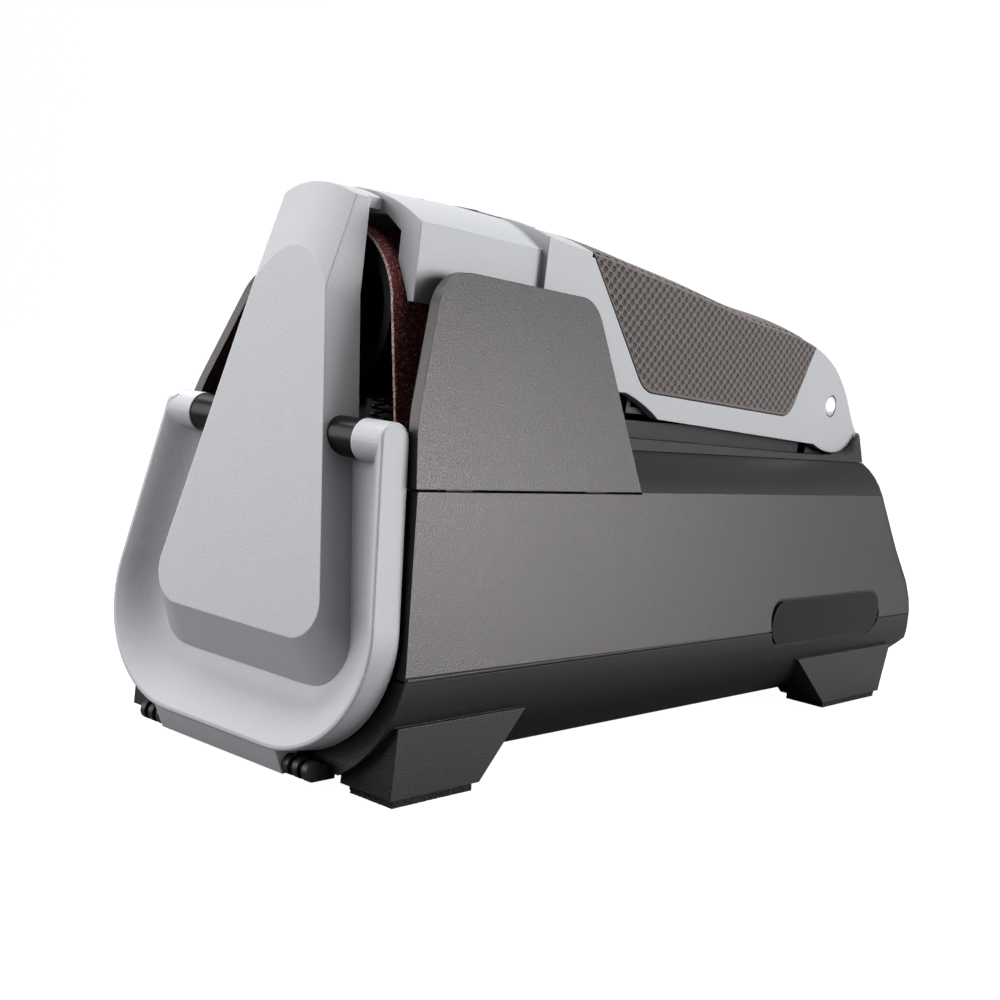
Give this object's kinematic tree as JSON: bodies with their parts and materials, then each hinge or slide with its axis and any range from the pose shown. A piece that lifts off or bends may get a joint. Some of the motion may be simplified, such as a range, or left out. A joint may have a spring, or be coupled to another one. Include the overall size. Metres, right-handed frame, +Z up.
{
  "type": "electric knife sharpener",
  "caption": "Bench-top belt knife sharpener: dark textured housing, grey dished front guide with a tapered tower, and a hinged grey arm with rubber grips over the abrasive belt",
  "frame": {"origin": "On the bench, under the middle of the machine's box", "axes": "+Z up; -Y is the front, where the blade goes in, and +Y the rear; +X is the side on the viewer's right when the front faces the viewer"},
  "size_m": [0.1046, 0.3039, 0.1495],
  "materials": {
    "dark_shell": "fine matt texture, warm dark grey",
    "black_part": "matt black",
    "gray_shell": "fine matt texture, cool light grey",
    "grip": "soft matt rubber with a fine raised pattern",
    "foam": "rough open foam",
    "rod_black": "satin black",
    "plate": "smooth satin, bare",
    "panel": "smooth satin, bare",
    "lens": "clear lens",
    "abrasive": "abrasive grit on cloth, dark maroon",
    "steel": "bright ground steel",
    "zinc_plate": "pressed steel, zinc plated",
    "alloy": "turned aluminium",
    "ferrite": "sintered magnet",
    "iron_stack": "laminated iron with windings",
    "copper": "copper segments",
    "carbon": "pressed carbon",
    "board": "glass-fibre board",
    "part_black": "moulded component case",
    "spring_steel": "spring wire"
  },
  "bodies": {
    "base": {"base_tray": "dark_shell", "foot_pads": "foam", "upper_housing": "dark_shell", "cheek_right": "dark_shell", "cheek_left": "dark_shell", "side_plate_right": "plate", "side_plate_left": "plate", "rear_deck": "dark_shell", "pivot_pin": "steel", "guide_hinge_pins": "steel", "abrasive_belt": "abrasive", "idler_axle": "steel", "belt_frame": "zinc_plate", "tension_spring": "spring_steel", "belt_bay": "black_part", "motor_can": "zinc_plate", "motor_screws": "steel", "motor_magnets": "ferrite", "motor_brushes": "carbon", "motor_end_cap": "black_part", "main_board": "board", "transformer": "iron_stack", "capacitors": "alloy", "relay": "part_black", "heat_sink": "alloy", "power_inlet": "part_black", "rear_grille": "black_part", "case_screws": "steel"},
    "arm": {"arm_shell": "gray_shell", "arm_cover": "black_part", "grip_pad_right": "grip", "grip_pad_left": "grip", "grip_pad_top": "grip", "control_panel": "panel", "indicator_lenses": "lens", "control_board": "board", "tact_switches": "part_black"},
    "power_key": {"power_button": "gray_shell"},
    "program_key": {"program_button": "gray_shell"},
    "guide": {"front_guide": "gray_shell", "guide_rods": "rod_black"},
    "tensioner": {"tension_carriage": "zinc_plate", "top_axle": "steel"},
    "top_wheel": {"top_pulley": "black_part", "top_pulley_bearings": "steel"},
    "idler": {"idler_roller": "black_part", "idler_bearings": "steel"},
    "rotor": {"motor_shaft": "steel", "motor_armature": "iron_stack", "motor_commutator": "copper", "drive_roller": "alloy", "motor_fan": "black_part"}
  },
  "joints": [
    {"name": "arm_hinge", "type": "hinge", "parent": "base", "child": "arm", "pos_m": [0, 0.1031, 0.1068], "axis": [-1, 0, 0], "range_deg": [0, 45]},
    {"name": "front_guide_hinge", "type": "hinge", "parent": "base", "child": "guide", "pos_m": [0, -0.1466, 0.006], "axis": [1, 0, 0], "range_deg": [0, 80]},
    {"name": "power_button_press", "type": "slide", "parent": "arm", "child": "power_key", "axis": [0, 0, -1], "range_m": [0, 0.001], "stiffness_N_per_m": 400, "springref_m": -0.0008},
    {"name": "program_button_press", "type": "slide", "parent": "arm", "child": "program_key", "axis": [0, 0, -1], "range_m": [0, 0.001], "stiffness_N_per_m": 400, "springref_m": -0.0008},
    {"name": "belt_tension_slide", "type": "slide", "parent": "base", "child": "tensioner", "axis": [0, 0, 1], "range_m": [-0.005, 0], "stiffness_N_per_m": 1500, "springref_m": 0.004, "deforming": ["tension_spring"]},
    {"name": "motor_spin", "type": "hinge", "parent": "base", "child": "rotor", "pos_m": [-0.026, -0.092, 0.042], "axis": [0, 1, 0], "continuous": true},
    {"name": "idler_spin", "type": "hinge", "parent": "base", "child": "idler", "pos_m": [0.026, -0.118, 0.042], "axis": [0, 1, 0], "continuous": true},
    {"name": "top_pulley_spin", "type": "hinge", "parent": "tensioner", "child": "top_wheel", "pos_m": [0, -0.118, 0.1165], "axis": [0, 1, 0], "continuous": true}
  ],
  "couplings": [
    {"joint": "idler_spin", "follows": "motor_spin", "ratio": 1},
    {"joint": "top_pulley_spin", "follows": "motor_spin", "ratio": 0.45455}
  ]
}
